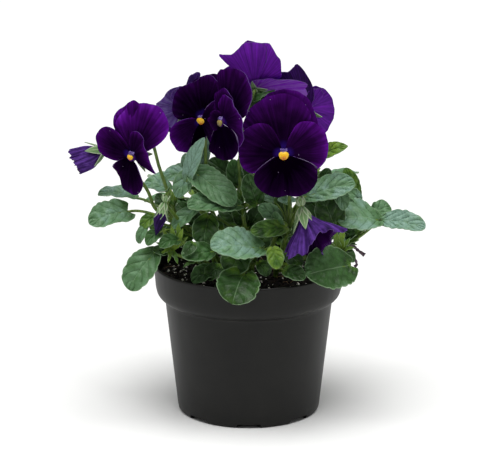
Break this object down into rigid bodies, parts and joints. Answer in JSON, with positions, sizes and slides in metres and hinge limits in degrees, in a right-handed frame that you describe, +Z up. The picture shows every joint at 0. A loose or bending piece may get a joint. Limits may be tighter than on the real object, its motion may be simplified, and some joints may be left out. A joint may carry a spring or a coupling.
{
  "type": "potted pansy planter",
  "caption": "Round plastic nursery pot of compost with a bushy pansy: scalloped green leaves on arching shoots and deep violet blooms with a yellow eye.",
  "frame": {"origin": "centre of the pot's underside, on the surface that it stands on", "axes": "+Z up along the pot's axis, -Y towards the viewer of the blooms, +X to that viewer's right"},
  "size_m": [0.2232, 0.1492, 0.2392],
  "materials": {
    "pot": "satin moulded polypropylene",
    "compost": "damp peat with perlite grains",
    "foliage": "soft matt leaf with pale veins",
    "petals": "velvety deep violet petal",
    "eye": "yellow eye"
  },
  "bodies": {
    "root": {"pot": "pot", "compost": "compost", "shoot_left": "foliage", "shoot_left_low": "foliage", "shoot_mid_left": "foliage", "shoot_centre": "foliage", "shoot_front": "foliage", "shoot_front_right": "foliage", "shoot_right": "foliage", "shoot_right_high": "foliage", "shoot_back_left": "foliage", "shoot_back": "foliage", "shoot_back_right": "foliage", "bloom_left_petals": "petals", "bloom_left_eye": "eye", "bloom_mid_left_petals": "petals", "bloom_mid_left_eye": "eye", "bloom_mid_petals": "petals", "bloom_mid_eye": "eye", "bloom_front_petals": "petals", "bloom_front_eye": "eye", "bloom_top_petals": "petals", "bloom_top_eye": "eye", "bloom_rear_right_petals": "petals", "bloom_rear_right_eye": "eye", "bloom_rear_left_petals": "petals", "bloom_rear_left_eye": "eye", "bloom_drooping_petals": "petals", "bud_left_petals": "petals", "bud_low_petals": "petals"}
  },
  "joints": []
}
